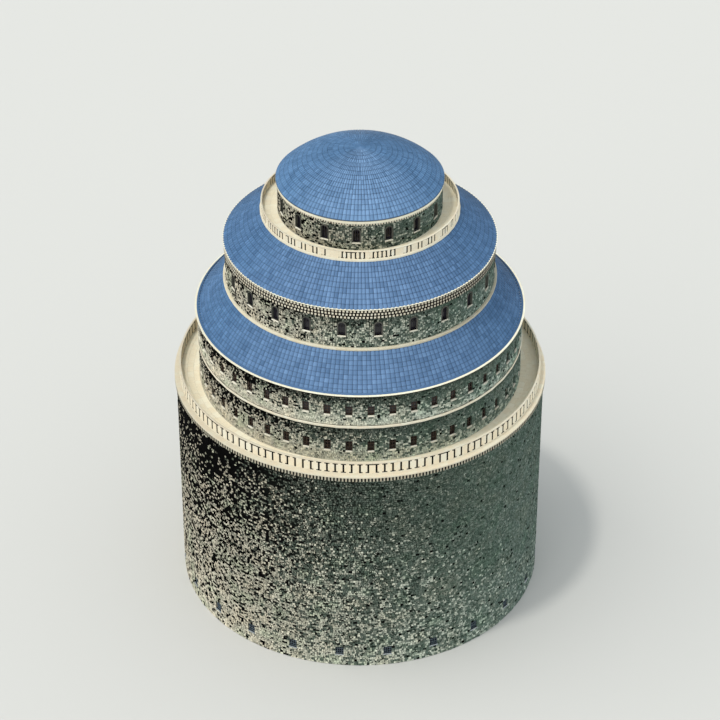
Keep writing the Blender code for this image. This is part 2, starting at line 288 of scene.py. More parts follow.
def dressed_limestone(name, pale, warm, recess=None, side_light=(1.16, 1.08, 0.86)):
    """Sawn cream limestone: matt and even, each block a little warmer or greyer than the next.

    A recess is (radius, height): below it and behind it the stone is painted black as shadow.
    The side light is its painted brightness away from the lit side, halfway round, and at it."""
    made, tree, place = new_finish(name, 0.8, 0.3)
    tint = add(tree, "ShaderNodeAttribute", attribute_name="tint").outputs["Fac"]
    cloud = add(tree, "ShaderNodeTexNoise", {"Vector": place, "Scale": per_metre(700), "Detail": 4.0})
    blend = add(tree, "ShaderNodeMath", {0: tint, 1: 0.5, 2: cloud}, operation="MULTIPLY_ADD")
    colour = add(tree, "ShaderNodeValToRGB", {"Fac": blend}, [(0.35, pale), (0.75, warm), (1.0, pale)])
    grain = add(tree, "ShaderNodeTexNoise", {"Vector": place, "Scale": per_metre(45), "Detail": 3.0})
    specks = add(tree, "ShaderNodeMapRange", {
        "Value": grain, "From Min": 0.35, "From Max": 0.65, "To Min": 0.9, "To Max": 1.05,
    })
    side = share_towards(tree, place)
    # Painted light and shade: each block brighter or darker by its bearing to the lights
    painted_side_light = add(tree, "ShaderNodeValToRGB", {"Fac": side}, zip((0.0, 0.5, 1.0), side_light))
    for tone in (specks, painted_side_light):
        colour = add(tree, "ShaderNodeMix", {SHARE: 1.0, FIRST: colour, SECOND: tone}, **MULTIPLY)
    # Painted shadow: black below and behind the recess
    if recess:
        radius, height = recess
        spot = add(tree, "ShaderNodeSeparateXYZ", {"Vector": place}).outputs
        flat = add(tree, "ShaderNodeCombineXYZ", {"X": spot["X"], "Y": spot["Y"]})
        out = add(tree, "ShaderNodeVectorMath", {0: flat}, operation="LENGTH")
        behind = add(tree, "ShaderNodeMath", {0: out, 1: radius}, operation="LESS_THAN")
        below = add(tree, "ShaderNodeMath", {0: spot["Z"], 1: height}, operation="LESS_THAN")
        both = add(tree, "ShaderNodeMath", {0: behind, 1: below}, operation="MULTIPLY")
        black = linear("#0c0c0a")
        colour = add(tree, "ShaderNodeMix", {SHARE: both, FIRST: colour, SECOND: black}, **BLEND)
    return dress(made, colour, grain, 0.3, 0.008)


def glazed_tile(name, deep, pale):
    """Blue glazed clay tile: a glaze weathered to a soft sheen, each tile a shade apart.

    Its colour carries painted light and shade by bearing to the lights, a painted sheen towards the front,
    a painted shadow line along a tile's lower end and painted shade darkening the back of the roofs."""
    made, tree, place = new_finish(name, 0.3, 0.02)
    tint = add(tree, "ShaderNodeAttribute", attribute_name="tint").outputs["Fac"]
    cloud = add(tree, "ShaderNodeTexNoise", {"Vector": place, "Scale": per_metre(1500), "Detail": 3.0})
    blend = add(tree, "ShaderNodeMath", {0: cloud, 1: 0.3, 2: tint}, operation="MULTIPLY_ADD")
    colour = add(tree, "ShaderNodeValToRGB", {"Fac": blend}, [(0.2, deep), (0.9, pale)])
    spot = add(tree, "ShaderNodeSeparateXYZ", {"Vector": place}).outputs
    # Painted light and shade by bearing to the lights
    roof_side_light = add(tree, "ShaderNodeValToRGB", {"Fac": share_towards(tree, place)}, TILE_SIDE_LIGHT)
    # Painted sheen: the glaze brighter towards the front
    front_sheen = add(tree, "ShaderNodeValToRGB", {"Fac": share_towards(tree, place, FRONT)}, TILE_FRONT_SHEEN)
    # Painted shade: darker towards the back
    back = add(tree, "ShaderNodeMapRange", {
        "Value": spot["Y"], "From Min": 0.5, "From Max": 6.2, "To Min": 1.0, "To Max": 0.6,
    })
    foot = add(tree, "ShaderNodeAttribute", attribute_name="foot").outputs["Fac"]
    # Painted shadow line along each tile's lower end
    lap_shadow_line = add(tree, "ShaderNodeMapRange", {
        "Value": foot, "From Min": 0.86, "From Max": 0.92, "To Min": 1.0, "To Max": 0.64,
    })
    for tone in (roof_side_light, front_sheen, back, lap_shadow_line):
        colour = add(tree, "ShaderNodeMix", {SHARE: 1.0, FIRST: colour, SECOND: tone}, **MULTIPLY)
    speck = add(tree, "ShaderNodeTexNoise", {"Vector": place, "Scale": per_metre(90), "Detail": 3.0})
    wear = add(tree, "ShaderNodeMapRange", {
        "Value": speck, "From Min": 0.3, "From Max": 0.7, "To Min": 0.2, "To Max": 0.36,
    })
    return dress(made, colour, speck, 0.25, 0.006, Roughness=wear)


def dark_glass():
    """Old window glass over a dark room: nearly black, slightly wavy and glossy."""
    made, tree, place = new_finish("smoked_window_glass", 0.18)
    wave = add(tree, "ShaderNodeTexNoise", {"Vector": place, "Scale": per_metre(250), "Detail": 2.0})
    colour = add(tree, "ShaderNodeValToRGB", {"Fac": wave}, [(0.35, "#050408"), (0.65, "#0f0d15")])
    return dress(made, colour, wave, 0.15, 0.01)


def painted_bar(name, worn, paint, grain_mm, roughness):
    """Paint or stain on bars, frames and boards, faded and worn along the grain."""
    made, tree, place = new_finish(name, roughness)
    along = add(tree, "ShaderNodeMapping", {"Vector": place, "Scale": (1.0, 1.0, 0.15)})
    grain = add(tree, "ShaderNodeTexNoise", {"Vector": along, "Scale": per_metre(grain_mm), "Detail": 3.0})
    colour = add(tree, "ShaderNodeValToRGB", {"Fac": grain}, [(0.38, worn), (0.6, paint)])
    return dress(made, colour, grain, 0.3, 0.003)


# Pieces and how they are laid


def in_scene(name, data):
    """A new object in the scene."""
    made = bpy.data.objects.new(name, data)
    bpy.context.scene.collection.objects.link(made)
    return made


def new_piece(name, mesh, finish, replaced=()):
    """Links a finished mesh to the tower, which doesn't move."""
    mesh.materials.clear()
    mesh.materials.append(finish)
    made = in_scene(name, mesh)
    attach(made, "root")
    if replaced:
        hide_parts(*replaced)


def mesh_of(name, shape):
    mesh = bpy.data.meshes.new(name)
    shape.to_mesh(mesh)
    shape.free()
    return mesh


def laying_group():
    """Nodes that put one of the blocks on each point and make the copies real."""
    group = bpy.data.node_groups.new("lay_blocks", "GeometryNodeTree")
    group.interface.new_socket("Places", in_out="INPUT", socket_type="NodeSocketGeometry")
    group.interface.new_socket("Blocks", in_out="INPUT", socket_type="NodeSocketCollection")
    group.interface.new_socket("Laid", in_out="OUTPUT", socket_type="NodeSocketGeometry")
    given = add(group, "NodeGroupInput").outputs
    blocks = add(group, "GeometryNodeCollectionInfo", {
        "Collection": given["Blocks"], "Separate Children": True, "Reset Children": True,
    })
    pick, turn, size = (
        add(group, "GeometryNodeInputNamedAttribute", {"Name": name}, data_type=kind)
        for name, kind in (("pick", "INT"), ("turn", "FLOAT_VECTOR"), ("size", "FLOAT_VECTOR")))
    laid = add(group, "GeometryNodeInstanceOnPoints", {
        "Points": given["Places"], "Instance": blocks, "Pick Instance": True,
        "Instance Index": pick, "Rotation": turn, "Scale": size,
    })
    real = add(group, "GeometryNodeRealizeInstances", {"Geometry": laid})
    add(group, "NodeGroupOutput", {"Laid": real})
    return group


def lay(name, blocks, places, finish):
    """One mesh of many blocks. A place is (position, turn, size, block number, tint)."""
    points = bpy.data.meshes.new(name + "_places")
    points.from_pydata([p[0] for p in places], [], [])
    columns = (("turn", "FLOAT_VECTOR", "vector", 1), ("size", "FLOAT_VECTOR", "vector", 2),
               ("pick", "INT", "value", 3), ("tint", "FLOAT", "value", 4))
    for label, kind, field, column in columns:
        values = [p[column] for p in places]
        if field == "vector":
            values = [part for value in values for part in value]
        points.attributes.new(label, kind, "POINT").data.foreach_set(field, values)
    store = bpy.data.collections.new(name + "_blocks")
    for number, shape in enumerate(blocks):
        label = "%s_block_%03d" % (name, number)
        store.objects.link(bpy.data.objects.new(label, mesh_of(label, shape)))
    holder = in_scene(name + "_places", points)
    modifier = holder.modifiers.new("lay", "NODES")
    modifier.node_group = LAY
    modifier[LAY.interface.items_tree["Blocks"].identifier] = store
    graph = bpy.context.evaluated_depsgraph_get()
    mesh = bpy.data.meshes.new_from_object(
        holder.evaluated_get(graph), preserve_all_data_layers=True, depsgraph=graph)
    mesh.name = name
    for label in ("turn", "size", "pick"):
        if label in mesh.attributes:
            mesh.attributes.remove(mesh.attributes[label])
    bpy.data.objects.remove(holder)
    for block in list(store.objects):
        bpy.data.objects.remove(block)
    bpy.data.collections.remove(store)
    new_piece(name, mesh, finish)


def reach(node):
    """The outer radius, foot and head of a round node, or of a wall's front quarter."""
    low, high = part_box(node)
    return -low.y, low.z, high.z


def round_places(count, first=0.0, seed=0):
    """Places that turn a block, modelled at the front, to even angles round the tower."""
    rng = random.Random(seed)
    turns = [math.radians(first + 360.0 * number / count) for number in range(count)]
    return [((0, 0, 0), (0, 0, turn), (1, 1, 1), 0, rng.random()) for turn in turns]


def chamfer(shape, edges, width):
    bmesh.ops.bevel(shape, geom=edges, offset=width, affect="EDGES", segments=1, profile=0.5, material=-1)


def box_into(shape, low, high, bevel=0.0):
    """Adds a box between two corners, with its edges taken off."""
    size = Vector(high) - Vector(low)
    middle = (Vector(high) + Vector(low)) / 2
    matrix = Matrix.Translation(middle) @ Matrix.Diagonal((*size, 1.0))
    verts = bmesh.ops.create_cube(shape, size=1.0, matrix=matrix)["verts"]
    if bevel:
        chamfer(shape, list({edge for vert in verts for edge in vert.link_edges}), bevel)


def curved_block(profile, arc, steps, bevel=0.0):
    """A block of (radius, height) section, bent round the tower through an arc in radians."""
    shape = bmesh.new()
    verts = [shape.verts.new((0.0, -r, z)) for r, z in profile]
    section = shape.faces.new(verts)
    bmesh.ops.rotate(shape, verts=verts, matrix=Matrix.Rotation(-arc / 2, 3, "Z"))
    bmesh.ops.spin(shape, geom=[*verts, *section.edges, section], axis=(0, 0, 1), angle=arc, steps=steps)
    bmesh.ops.recalc_face_normals(shape, faces=shape.faces)
    if bevel:
        sharp = [edge for edge in shape.edges if edge.calc_face_angle(0.0) > math.radians(40)]
        chamfer(shape, sharp, bevel)
    return shape


def turned(name, profile, finish, replaced=(), closed=True):
    """A (radius, height) profile turned on the axis: a closed section, or a line that ends there."""
    shape = bmesh.new()
    verts = [shape.verts.new((0.0, -r, z)) for r, z in profile]
    pairs = zip(verts[-1:] + verts, verts) if closed else zip(verts, verts[1:])
    edges = [shape.edges.new(pair) for pair in pairs]
    bmesh.ops.spin(
        shape, geom=verts + edges, axis=(0, 0, 1), angle=math.tau, steps=RING_SIDES, use_merge=True)
    bmesh.ops.remove_doubles(shape, verts=shape.verts, dist=0.0001)
    bmesh.ops.recalc_face_normals(shape, faces=shape.faces)
    mesh = mesh_of(name, shape)
    mesh.shade_smooth()
    mesh.set_sharp_from_angle(angle=math.radians(30))
    new_piece(name, mesh, finish, replaced)


# Rubble walls


def stone_shapes():
    """Unit stones with uneven corners, whose face is smaller than their bed, open at the hidden back."""
    rng = random.Random(5)
    shapes = []
    for _ in range(STONE_SHAPES):
        shape = bmesh.new()
        bmesh.ops.create_cube(shape, size=1.0)
        back = [face for face in shape.faces if face.normal.y > 0.5]
        bmesh.ops.delete(shape, geom=back, context="FACES_ONLY")
        face = [v for v in shape.verts if v.co.y < 0]
        bmesh.ops.scale(shape, vec=(0.93, 1.0, 0.88), verts=face)
        for vert in face:
            shift = (rng.uniform(-0.05, 0.04), rng.uniform(-0.05, 0.08), rng.uniform(-0.06, 0.06))
            bmesh.ops.translate(shape, vec=shift, verts=[vert])
        shapes.append(shape)
    return shapes


def uneven_steps(low, high, mean, spread, rng):
    """Edges that divide a length into uneven steps."""
    count = max(1, round((high - low) / mean))
    weights = [1.0 + rng.uniform(-spread, spread) for _ in range(count)]
    edges = [low]
    for weight in weights:
        edges.append(edges[-1] + (high - low) * weight / sum(weights))
    return edges


def arcs_between(cuts, rng):
    """The arcs, in radians, left between (angle, half width) cuts; a whole turn without any."""
    if not cuts:
        start = rng.uniform(0, math.tau)
        return [(start, start + math.tau)]
    cuts = sorted((angle % math.tau, half) for angle, half in cuts)
    following = cuts[1:] + [(cuts[0][0] + math.tau, cuts[0][1])]
    return [(a + wide, b - narrow) for (a, wide), (b, narrow) in zip(cuts, following)]


def window_cuts(windows, half):
    step = math.tau / windows["count"]
    return [(math.radians(windows["first"]) + step * number, half) for number in range(windows["count"])]


def lit_share(angle):
    """How far a bearing looks towards the lit side, whose light and shade are painted, from 0 to 1."""
    facing = math.sin(angle) * LIT_SIDE[0] - math.cos(angle) * LIT_SIDE[1]
    return min(1.0, max(0.0, (facing - AWAY) / (1.0 - AWAY)))


def between(stops, place):
    """The value at a place among (place, value) stops."""
    for (low, first), (high, last) in zip(stops, stops[1:]):
        if place <= high:
            return first + (last - first) * max(0.0, place - low) / (high - low)
    return stops[-1][1]


def drawn(tints, rng):
    """A tint drawn round a mean, within its limits."""
    mean, spread, least, most = tints
    return min(most, max(least, rng.gauss(mean, spread)))


def stone_tint(angle, lit_by_height, rng):
    """How lit a stone is painted, from green shade to lit cream, or None for one that has gone and leaves a
    black pocket.

    Nearer to the lit side more stones are painted near black as joint shadow or gone, and right at it none
    has gone."""
    side = lit_share(angle)
    if rng.random() < lit_by_height + between(FEWER_LIT, side):
        return drawn(LIT_STONE_TINTS, rng)
    if rng.random() < max(0.06, (side - 0.7) / 0.24):
        return 0.0 if side > 0.9 or rng.random() < 0.6 else None
    return drawn(GREEN_TINTS, rng)


def course(radius, low, high, cuts, lit_by_height, length, rng):
    """Places of one course of stones. The given share of them is painted lit, and fewer on the shaded side.
    """
    places = []
    for start, end in arcs_between(cuts, rng):
        edges = uneven_steps(start, end, length / radius, LENGTH_SPREAD, rng)
        for left, right in zip(edges, edges[1:]):
            angle = (left + right) / 2
            tint = stone_tint(angle, lit_by_height, rng)
            if tint is None:
                continue
            joint = STONE_JOINT + GAPING_JOINT * lit_share(angle) * max(0.0, 1.0 - lit_by_height)
            out = radius + rng.uniform(*STONE_PROUD) - STONE_DEPTH / 2
            spot = (out * math.sin(angle), -out * math.cos(angle), (low + high) / 2)
            turn = (rng.gauss(0, 0.02), rng.gauss(0, 0.02), angle + rng.gauss(0, 0.03))
            size = ((right - left) * radius - joint, STONE_DEPTH, high - low - joint)
            places.append((spot, turn, size, rng.randrange(STONE_SHAPES), tint))
    return places


def rubble(storey, gaps, seams, lit_stones, seed, stone):
    """Places of all stones of a wall, which stop at its windows' dressings.

    The gaps are the widths of the dressings beside, below and above a window."""
    rng = random.Random(seed)
    windows = WINDOWS[storey]
    radius, foot, head = reach(storey + "_wall_front")
    beside, below, above = gaps
    half = (windows["width"] / 2 + beside) / radius
    below, above = windows["sill"] - below, windows["head"] + above
    zones = [(foot + STONE_JOINT, below, False), (below, above, True), (above, head, False)]
    places = []
    for low, high, pierced in zones:
        levels = uneven_steps(low, high, stone[1], COURSE_SPREAD, rng)
        for bottom, top in zip(levels, levels[1:]):
            cuts = seams + (window_cuts(windows, half) if pierced else [])
            lit_by_height = between(lit_stones, ((bottom + top) / 2 - foot) / (head - foot))
            places += course(radius, bottom, top, cuts, lit_by_height, stone[0], rng)
    return places


def quarter_of(place):
    x, y, _ = place[0]
    return QUARTERS[round(math.atan2(x, -y) / (math.pi / 2)) % 4]


# Tier two from its foot up: the share of stones painted lit, the painted light and shade above its foot,
# and the holes
TIER_TWO_LIT_STONES = [(0.0, 1.5), (0.14, 1.2), (0.3, 1.0), (0.45, 0.94), (0.65, 0.72), (0.85, 0.45),
                  (1.0, 0.25)]
TIER_TWO_HEIGHT_SHADE = [(0.16, 1.17), (0.3, 1.03), (0.5, 0.98), (0.85, 0.82), (0.97, 0.57)]
TIER_TWO_HOLES = [(0.0, 0.02), (0.2, 0.06), (0.5, 0.14), (1.0, 0.26)]
# Each wall: its seed, the gaps for its windows' dressings, and stops from its foot to its head for
# the share of stones painted lit, the painted light and shade by height, and the holes
WALLS = (
    ("base", 21, (0.0, 0.07, 0.0),
     [(0.0, 0.98), (0.15, 0.88), (0.28, 0.82), (0.45, 0.73), (0.62, 0.58), (0.8, 0.46), (0.93, 0.29),
      (1.0, 0.23)],
     [(0.0, 1.17), (0.06, 1.05), (0.28, 0.96), (0.45, 0.95), (0.62, 0.93), (1.0, 0.84)],
     [(0.0, 0.08), (0.15, 0.15), (0.3, 0.19), (0.5, 0.22), (0.7, 0.28), (1.0, 0.34)]),
    ("tier_two_lower", 31, (0.0, 0.12, 0.0), TIER_TWO_LIT_STONES,
     [(0.0, (1.34, 1.36, 1.44)), *TIER_TWO_HEIGHT_SHADE], TIER_TWO_HOLES),
    ("tier_two_upper", 32, (0.0, 0.12, 0.0), TIER_TWO_LIT_STONES,
     [(0.0, (1.12, 1.09, 1.08)), *TIER_TWO_HEIGHT_SHADE], TIER_TWO_HOLES),
    ("tier_three", 41, (0.09, 0.09, 0.09),
     [(0.0, 0.82), (0.3, 0.87), (0.65, 0.95), (0.85, 0.78), (1.0, 0.5)],
     [(0.0, 1.08), (0.35, 0.98), (0.7, 0.9), (1.0, 0.7)],
     [(0.0, 0.14), (0.5, 0.12), (1.0, 0.24)]),
    ("tier_four", 51, (0.08, 0.09, 0.08),
     [(0.0, 0.9), (0.5, 0.82), (1.0, 0.76)],
     [(0.0, 0.93), (0.3, 0.85), (0.7, 0.82), (1.0, 0.76)],
     [(0.0, 0.1), (1.0, 0.16)]),
)
# The third tier has an upright seam beside each window: how far from its middle, and half its width
SEAM_AWAY = 0.65
SEAM_HALF = 0.012


def rubble_walls():
    """The stones of every wall, those of the base in one piece a quarter."""
    for name, seed, gaps, lit_stones, height_shade, holes in WALLS:
        radius, foot, head = reach(name + "_wall_front")
        finish = rubble_with_painted_light("rubble_with_painted_light_" + name, foot, head, height_shade, holes)
        seams = []
        if name == "tier_three":
            seams = [(angle - SEAM_AWAY / radius, SEAM_HALF / radius)
                     for angle, _ in window_cuts(WINDOWS[name], 0.0)]
        stone = BASE_STONE if name == "base" else UPPER_STONE
        stones = rubble(name, gaps, seams, lit_stones, seed, stone)
        if name != "base":
            lay(name + "_stones", stone_shapes(), stones, finish)
            continue
        for side in QUARTERS:
            part = [place for place in stones if quarter_of(place) == side]
            lay("base_stones_" + side, stone_shapes(), part, finish)


# Windows


def arch_stones(shape, half, spring, width, front, back, count=1, joint=0.0, steps=8):
    """Wedge stones over an arched head, a joint apart; a single one is a whole half ring."""
    for number in range(count):
        start = math.pi * number / count + joint / 2
        corners = [(half, front), (half + width, front), (half + width, back), (half, back)]
        verts = [shape.verts.new((x, y, spring)) for x, y in corners]
        section = shape.faces.new(verts)
        bmesh.ops.rotate(shape, verts=verts, cent=(0, 0, spring), matrix=Matrix.Rotation(-start, 3, "Y"))
        bmesh.ops.spin(shape, geom=[*verts, *section.edges, section], cent=(0, 0, spring),
                       axis=(0, 1, 0), angle=-(math.pi / count - joint), steps=steps)


def set_windows(storey, parts):
    """Lays each part of a window round its storey. A part is (suffix, builder, its sizes, finish, slot).

    A builder gets half the opening's width, its sill, its head and the wall's radius."""
    windows = WINDOWS[storey]
    radius = reach(storey + "_wall_front")[0]
    for suffix, builder, sizes, finish, slot in parts:
        shape = bmesh.new()
        builder(shape, windows["width"] / 2, windows["sill"], windows["head"], radius, *sizes)
        bmesh.ops.recalc_face_normals(shape, faces=shape.faces)
        places = round_places(windows["count"], windows["first"], 7)
        lay(storey + "_window" + suffix, [shape], places, finish)


def sill(shape, half, low, high, radius, width, height, proud):
    box_into(shape, (-width / 2, -radius - proud, low - height), (width / 2, -radius + 0.25, low), 0.012)


def uprights_and_foot(shape, half, border, low, high, front):
    """The two sides of a window's frame and its lower rail."""
    back = front + FRAME_DEPTH
    for side in (-1, 1):
        x = sorted((side * half, side * (half - border)))
        box_into(shape, (x[0], front, low), (x[1], back, high))
    box_into(shape, (-half, front, low), (half, back, low + border))


def square_frame(shape, half, low, high, radius, border, mullions, rails, depth):
    """A frame with upright and level bars, set back in a square opening."""
    front, back = -radius + depth, -radius + depth + FRAME_DEPTH
    uprights_and_foot(shape, half, border, low, high, front)
    box_into(shape, (-half, front, high - border), (half, back, high))
    for number in range(mullions):
        x = 2 * half * ((number + 1) / (mullions + 1) - 0.5)
        box_into(shape, (x - border / 3, front, low), (x + border / 3, back, high))
    for number in range(rails):
        z = low + (high - low) * (number + 1) / (rails + 1)
        box_into(shape, (-half, front + 0.005, z - border / 3), (half, back - 0.005, z + border / 3))


def arched_frame(shape, half, low, high, radius, border, mullions, depth):
    """A frame with upright bars, set back in an arched opening."""
    spring = high - half
    front, back = -radius + depth, -radius + depth + FRAME_DEPTH
    uprights_and_foot(shape, half, border, low, spring, front)
    arch_stones(shape, half - border, spring, border, front, back)
    for number in range(mullions):
        x = 2 * half * ((number + 1) / (mullions + 1) - 0.5)
        top = spring + math.sqrt(half ** 2 - x ** 2)
        box_into(shape, (x - border / 3, front, low), (x + border / 3, back, top - border / 2))


def square_pane(shape, half, low, high, radius, depth):
    front = -radius + depth
    box_into(shape, (-half, front, low), (half, front + PANE_DEPTH, high))


def arched_pane(shape, half, low, high, radius, depth):
    square_pane(shape, half, low, high - half, radius, depth)
    middle = Matrix.Translation((0, -radius + depth + PANE_DEPTH / 2, high - half))
    bmesh.ops.create_cone(
        shape, cap_ends=True, segments=24, radius1=half, radius2=half, depth=PANE_DEPTH,
        matrix=middle @ Matrix.Rotation(math.pi / 2, 4, "X"))


def arched_surround(shape, half, low, high, radius, width, blocks, proud):
    """Jamb stones up both sides and wedge stones over the head."""
    spring = high - half
    front, back = -radius - proud, -radius + 0.3
    height = (spring - low) / blocks
    for side in (-1, 1):
        x = sorted((side * half, side * (half + width)))
        for number in range(blocks):
            bottom = low + height * number + 0.006
            box_into(shape, (x[0], front, bottom), (x[1], back, bottom + height - 0.012), CHAMFER)
    arch_stones(shape, half, spring, width, front, back, count=7, joint=math.radians(3.0), steps=2)


def all_windows():
    slate_sill = dressed_limestone("blue_grey_sill_stone", "#858f95", "#969b9c")
    pale_sill = dressed_limestone("pale_sill_stone", "#d8d5c6", "#d4cfbd", None, (0.75, 1.02, 1.0))
    jamb = dressed_limestone("sooty_jamb_stone", "#43463f", "#525149")
    glass = dark_glass()
    steel = painted_bar("blue_grey_painted_steel", "#39434c", "#66757f", 30, 0.5)
    oak = painted_bar("red_brown_stained_oak", "#1f1511", "#45301f", 25, 0.6)
    dark_oak = painted_bar("aubergine_stained_oak", "#15121b", "#282231", 25, 0.55)
    set_windows("base", (
        ("_sills", sill, (0.70, 0.07, 0.05), slate_sill, "dressed_stone"),
        ("_grilles", square_frame, (0.04, 3, 2, 0.10), steel, "window_frame"),
        ("_panes", square_pane, (0.30,), glass, "window_glass"),
    ))
    for storey in ("tier_two_lower", "tier_two_upper"):
        set_windows(storey, (
            ("_sills", sill, (0.50, 0.12, 0.07), pale_sill, "dressed_stone"),
            ("_frames", square_frame, (0.06, 1, 2, 0.12), oak, "window_frame"),
            ("_panes", square_pane, (0.16,), glass, "window_glass"),
        ))
    for storey, width in (("tier_three", 0.09), ("tier_four", 0.08)):
        set_windows(storey, (
            ("_sills", sill, (WINDOWS[storey]["width"] + 0.12, 0.09, 0.07), pale_sill, "dressed_stone"),
            ("_surrounds", arched_surround, (width, 4, 0.03), jamb, "dressed_stone"),
            ("_frames", arched_frame, (0.05, 2, 0.16), dark_oak, "window_frame"),
            ("_panes", arched_pane, (0.19,), glass, "window_glass"),
        ))


# Ledges, cornices and balustrades


def ledge(name, node, proud, low, high, count, finish, depth=0.3, bevel=0.015):
    """Dressed blocks that face the edge of a slab."""
    radius = reach(node)[0] + proud
    arc = math.tau / count - BLOCK_JOINT / radius
    profile = [(radius - depth, low), (radius, low), (radius, high), (radius - depth, high)]
    block = curved_block(profile, arc, 3, bevel)
    lay(name, [block], round_places(count, 1.0, count), finish)


def teeth(name, count, width, inner, outer, low, high, finish, first=0.0):
    """A ring of small upright blocks."""
    shape = bmesh.new()
    box_into(shape, (-width / 2, -outer, low), (width / 2, -inner, high))
    lay(name, [shape], round_places(count, first, count), finish)


def ledges(foot_band):
    edge_r = reach("gallery_slab")[0]
    wall_head = reach("base_wall_front")[2]
    # The dentils' stone is painted black behind their faces, as the shadow between them
    grey_cream = dressed_limestone(
        "grey_cream_limestone", "#b9b7a4", "#bdb29b", (edge_r - 0.035, wall_head + 1.0), (0.72, 0.84, 0.66))
    teeth("gallery_dentils", 352, 0.115, edge_r - 0.30, edge_r - 0.012, wall_head + 0.03, GALLERY_BAND_TOP,
          grey_cream)
    low, high = reach("tier_two_floor")[1:]
    ledge("string_course_blocks", "tier_two_floor", 0.03, low + 0.08, high, 96, CREAM)
    high = reach("eaves_slab")[2]
    ledge("eaves_blocks", "eaves_slab", 0.02, high - 0.06, high + 0.015, 96, BAND, 0.5)
    high = reach("tier_three_floor")[2]
    ledge("tier_three_band_blocks", "tier_three_floor", 0.02, high - 0.12, high - 0.02, 84, foot_band)
    cornice()
    top_r, low, high = reach("tier_four_cornice")
    teeth("top_dentils", 190, 0.09, top_r - 0.25, top_r - 0.02, low - 0.13, low - 0.01, COPING)
    ledge("top_cornice_blocks", "tier_four_cornice", 0.015, low + 0.07, high, 48, BAND)


def cornice():
    """The third tier's cornice: a core painted black as the shadow behind the teeth, three rows of teeth
    before it and a drip stone on top.
    """
    radius, low, high = reach("tier_three_cornice")
    inner = 9.2
    core = [(inner, low), (radius - 0.10, low), (radius - 0.10, high), (inner, high)]
    turned("tier_three_cornice_core", core, SHADOW_RECESS, ("tier_three_cornice",))
    # The teeth's stone is painted black behind their faces, as the shadow between them
    tooth = dressed_limestone(
        "cornice_tooth_limestone", "#d8d4c2", "#d8cdb5", (radius - 0.06, high), (0.52, 0.97, 0.71))
    drip = 0.05
    rows = ((236, 0.15), (250, 0.14), (242, 0.15))
    row_height = (high - drip - low) / len(rows)
    for number, (count, width) in enumerate(rows):
        bottom = low + row_height * number
        outer = radius - 0.05 + 0.015 * number
        teeth("cornice_teeth_%d" % (number + 1), count, width, radius - 0.3, outer,
              bottom + 0.06, bottom + row_height - 0.05, tooth, 0.4 * number)
    ledge("cornice_drip", "tier_three_cornice", 0.01, high - drip, high, 84, BAND, 0.4, 0.01)


def balustrade(node, count, width, plinth, coping, slit, groove, joined, lengths):
    """Upright panels round a core painted black as the shadow seen through the slits, with slits between
    them that end in short level grooves.

    The groove is (length, height) of the notch at a panel's corner, joined is how many panels
    in eight touch the next one, and the plinth and the coping come in so many lengths."""
    radius, foot, head = reach(node + "_front")
    inner = radius - width
    joint, inset, clear = 0.006, 0.02, 0.004
    arc = math.tau / lengths - joint / radius
    replaced = tuple(node + "_" + side for side in QUARTERS)
    core = [(inner + inset, foot + inset / 2), (radius - inset, foot + inset / 2),
            (radius - inset, head - inset), (inner + inset, head - inset)]
    turned(node + "_core", core, SHADOW_RECESS, replaced)
    rails = (("_plinth", foot, foot + plinth, CREAM), ("_coping", head - coping, head, COPING))
    for suffix, low, high, finish in rails:
        profile = [(inner, low), (radius, low), (radius, high), (inner, high)]
        block = curved_block(profile, arc, count // lengths, 0.01)
        lay(node + suffix, [block], round_places(lengths, 0.0, lengths), finish)
    half = (math.tau * radius / count - slit) / 2
    notch, height = groove
    low, high = foot + plinth + clear, head - coping - clear
    front, back = -radius + clear, -inner - clear
    shapes = []
    for below, above in ((True, True), (True, False), (False, True), (True, True), (False, False)):
        shape = bmesh.new()
        box_into(shape, (-half, front, low + height * below), (half, back, high - height * above), CHAMFER)
        if below or above:
            box_into(shape, (notch - half, front + 0.002, low), (half - notch, back - 0.002, high), CHAMFER)
        shapes.append(shape)
    for right, top in ((half, high - height), (half + slit - clear, high)):
        shape = bmesh.new()
        box_into(shape, (-half, front, low), (right, back, top), CHAMFER)
        shapes.append(shape)
    rng = random.Random(count)
    last = len(shapes) - 1
    places = [(*place[:3], last if rng.random() < joined / 8 else rng.randrange(last), place[4])
              for place in round_places(count, 180.0 / count, 3)]
    lay(node + "_panels", shapes, places, PANEL)


def flags(name, node, rings, finish):
    """Paving stones in rings, laid a little proud. A ring is (inner radius, outer radius, count)."""
    top = reach(node)[2]
    gap = FLAG_JOINT / 2
    blocks = []
    places = []
    rng = random.Random(len(name))
    for number, (inner, outer, count) in enumerate(rings):
        near, far = inner + gap, outer - gap
        profile = [(near, top - 0.05), (far, top - 0.05), (far, top), (near, top)]
        blocks.append(curved_block(profile, math.tau / count - 2 * gap / outer, 2, gap))
        for place in round_places(count, rng.uniform(0, 5), number):
            lift = rng.uniform(0.4, 1.0) * FLAG_LIFT
            places.append(((0, 0, lift), place[1], place[2], number, place[4]))
    lay(name, blocks, places, finish)


# Roofs and dome


def tile(wide, narrow, length, bow):
    """A bowed tile, wide at its lower end: across X, up the slope along Y, its weather side up.

    Its foot value is 1 at the lower end."""
    shape = bmesh.new()
    lower_end = shape.verts.layers.float.new("foot")
    bmesh.ops.create_grid(shape, x_segments=4, y_segments=1, size=0.5)
    for vert in shape.verts:
        across = wide if vert.co.y < 0 else narrow
        rise = bow * (1.0 - (2.0 * vert.co.x) ** 2)
        vert.co = (vert.co.x * across, vert.co.y * length, rise)
    bmesh.ops.recalc_face_normals(shape, faces=shape.faces)
    bmesh.ops.solidify(shape, geom=shape.faces[:], thickness=TILE_THICKNESS)
    bmesh.ops.recalc_face_normals(shape, faces=shape.faces)
    for vert in shape.verts:
        vert[lower_end] = 1.0 if vert.co.y < 0 else 0.0
    return shape


